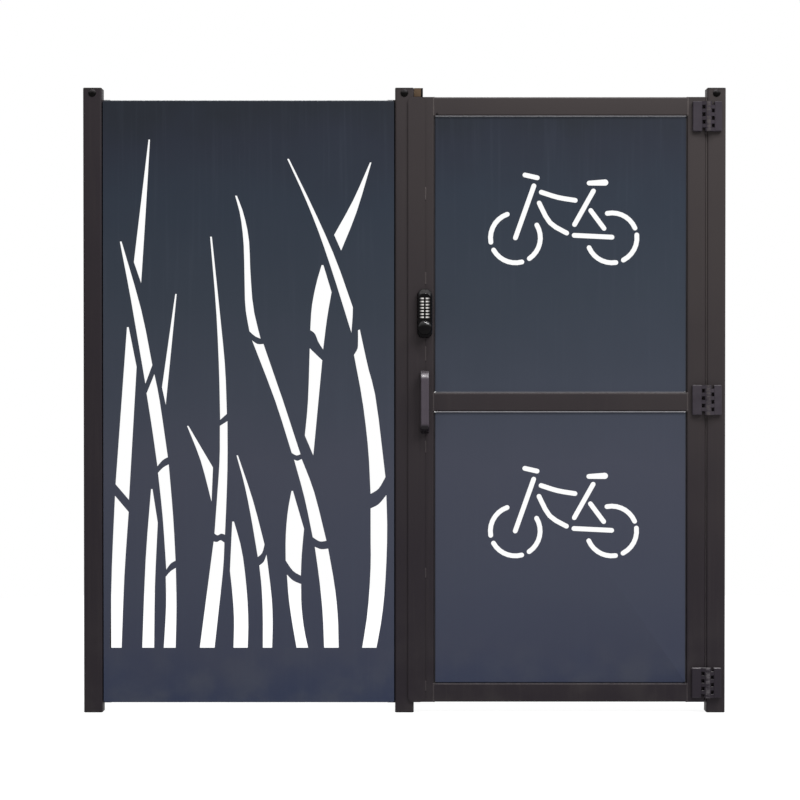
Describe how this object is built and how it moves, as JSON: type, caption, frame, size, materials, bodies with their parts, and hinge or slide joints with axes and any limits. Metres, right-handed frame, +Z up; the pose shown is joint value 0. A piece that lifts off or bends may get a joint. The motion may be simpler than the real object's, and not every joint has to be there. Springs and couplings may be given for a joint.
{
  "type": "bicycle locker",
  "caption": "Front of a lockable bicycle shelter: square posts, a fixed steel sheet with reed-shaped cut-outs and a hinged door with bicycle cut-outs, code lock and pull handle.",
  "frame": {"origin": "centre of the underside of the middle post's foot plug, on the ground line", "axes": "+X along the front from the fixed bay to the hinges, +Y from the street into the shelter, +Z up"},
  "size_m": [2.06, 0.1445, 2.005],
  "materials": {
    "frame_paint": "satin dark grey-brown powder coat",
    "panel_paint": "satin blue-grey powder coat",
    "cap_plastic": "matt dark moulded plastic",
    "hinge_black": "matt black coated casting",
    "lock_black": "glossy black coating",
    "button_chrome": "polished",
    "handle_grey": "satin grey coating",
    "steel": "bright zinc-plated"
  },
  "bodies": {
    "frame": {"left_post": "frame_paint", "middle_post": "frame_paint", "right_post": "frame_paint", "reed_panel": "panel_paint", "left_foot_plug": "cap_plastic", "left_post_cap": "cap_plastic", "middle_foot_plug": "cap_plastic", "middle_post_cap": "cap_plastic", "right_foot_plug": "cap_plastic", "right_post_cap": "cap_plastic", "lift_stop": "cap_plastic", "bottom_post_leaf": "hinge_black", "middle_post_leaf": "hinge_black", "top_post_leaf": "hinge_black", "left_top_bolt": "steel", "left_top_nut": "steel", "middle_top_bolt": "steel", "middle_top_nut": "steel", "right_top_bolt": "steel", "right_top_nut": "steel", "bottom_hinge_pin": "steel", "middle_hinge_pin": "steel", "top_hinge_pin": "steel", "strike_plate": "steel"},
    "door": {"lock_stile": "frame_paint", "hinge_stile": "frame_paint", "top_rail": "frame_paint", "middle_rail": "frame_paint", "bottom_rail": "frame_paint", "closing_strip": "frame_paint", "upper_infill": "panel_paint", "lower_infill": "panel_paint", "pull_handle": "handle_grey", "upper_handle_screw": "steel", "lower_handle_screw": "steel", "lock_body": "lock_black", "lock_back_plate": "lock_black", "upper_lock_bolt": "steel", "lower_lock_bolt": "steel", "latch_case": "steel", "bottom_door_leaf": "hinge_black", "middle_door_leaf": "hinge_black", "top_door_leaf": "hinge_black"},
    "knob": {"lock_knob": "lock_black", "inside_turn": "lock_black"},
    "latch": {"latch_bolt": "steel"},
    "button_left_1": {"button_left_1": "button_chrome"},
    "button_left_2": {"button_left_2": "button_chrome"},
    "button_left_3": {"button_left_3": "button_chrome"},
    "button_left_4": {"button_left_4": "button_chrome"},
    "button_left_5": {"button_left_5": "button_chrome"},
    "button_left_6": {"button_left_6": "button_chrome"},
    "button_left_7": {"button_left_7": "button_chrome"},
    "button_right_1": {"button_right_1": "button_chrome"},
    "button_right_2": {"button_right_2": "button_chrome"},
    "button_right_3": {"button_right_3": "button_chrome"},
    "button_right_4": {"button_right_4": "button_chrome"},
    "button_right_5": {"button_right_5": "button_chrome"},
    "button_right_6": {"button_right_6": "button_chrome"},
    "button_right_7": {"button_right_7": "button_chrome"}
  },
  "joints": [
    {"name": "door_hinge", "type": "hinge", "parent": "frame", "child": "door", "pos_m": [0.97225, -0.0419, 1.0045], "axis": [0, 0, 1], "range_deg": [0, 160]},
    {"name": "knob_turn", "type": "hinge", "parent": "door", "child": "knob", "pos_m": [0.065, -0.0579, 1.235], "axis": [0, 1, 0], "range_deg": [0, 60]},
    {"name": "latch_slide", "type": "slide", "parent": "door", "child": "latch", "axis": [-1, 0, 0], "range_m": [0, 0.012]},
    {"name": "button_left_1_press", "type": "slide", "parent": "door", "child": "button_left_1", "axis": [0, 1, 0], "range_m": [0, 0.0025], "stiffness_N_per_m": 400, "springref_m": -0.0015},
    {"name": "button_left_2_press", "type": "slide", "parent": "door", "child": "button_left_2", "axis": [0, 1, 0], "range_m": [0, 0.0025], "stiffness_N_per_m": 400, "springref_m": -0.0015},
    {"name": "button_left_3_press", "type": "slide", "parent": "door", "child": "button_left_3", "axis": [0, 1, 0], "range_m": [0, 0.0025], "stiffness_N_per_m": 400, "springref_m": -0.0015},
    {"name": "button_left_4_press", "type": "slide", "parent": "door", "child": "button_left_4", "axis": [0, 1, 0], "range_m": [0, 0.0025], "stiffness_N_per_m": 400, "springref_m": -0.0015},
    {"name": "button_left_5_press", "type": "slide", "parent": "door", "child": "button_left_5", "axis": [0, 1, 0], "range_m": [0, 0.0025], "stiffness_N_per_m": 400, "springref_m": -0.0015},
    {"name": "button_left_6_press", "type": "slide", "parent": "door", "child": "button_left_6", "axis": [0, 1, 0], "range_m": [0, 0.0025], "stiffness_N_per_m": 400, "springref_m": -0.0015},
    {"name": "button_left_7_press", "type": "slide", "parent": "door", "child": "button_left_7", "axis": [0, 1, 0], "range_m": [0, 0.0025], "stiffness_N_per_m": 400, "springref_m": -0.0015},
    {"name": "button_right_1_press", "type": "slide", "parent": "door", "child": "button_right_1", "axis": [0, 1, 0], "range_m": [0, 0.0025], "stiffness_N_per_m": 400, "springref_m": -0.0015},
    {"name": "button_right_2_press", "type": "slide", "parent": "door", "child": "button_right_2", "axis": [0, 1, 0], "range_m": [0, 0.0025], "stiffness_N_per_m": 400, "springref_m": -0.0015},
    {"name": "button_right_3_press", "type": "slide", "parent": "door", "child": "button_right_3", "axis": [0, 1, 0], "range_m": [0, 0.0025], "stiffness_N_per_m": 400, "springref_m": -0.0015},
    {"name": "button_right_4_press", "type": "slide", "parent": "door", "child": "button_right_4", "axis": [0, 1, 0], "range_m": [0, 0.0025], "stiffness_N_per_m": 400, "springref_m": -0.0015},
    {"name": "button_right_5_press", "type": "slide", "parent": "door", "child": "button_right_5", "axis": [0, 1, 0], "range_m": [0, 0.0025], "stiffness_N_per_m": 400, "springref_m": -0.0015},
    {"name": "button_right_6_press", "type": "slide", "parent": "door", "child": "button_right_6", "axis": [0, 1, 0], "range_m": [0, 0.0025], "stiffness_N_per_m": 400, "springref_m": -0.0015},
    {"name": "button_right_7_press", "type": "slide", "parent": "door", "child": "button_right_7", "axis": [0, 1, 0], "range_m": [0, 0.0025], "stiffness_N_per_m": 400, "springref_m": -0.0015}
  ],
  "couplings": [
    {"joint": "latch_slide", "follows": "knob_turn", "m_per_rad": 0.011459}
  ]
}
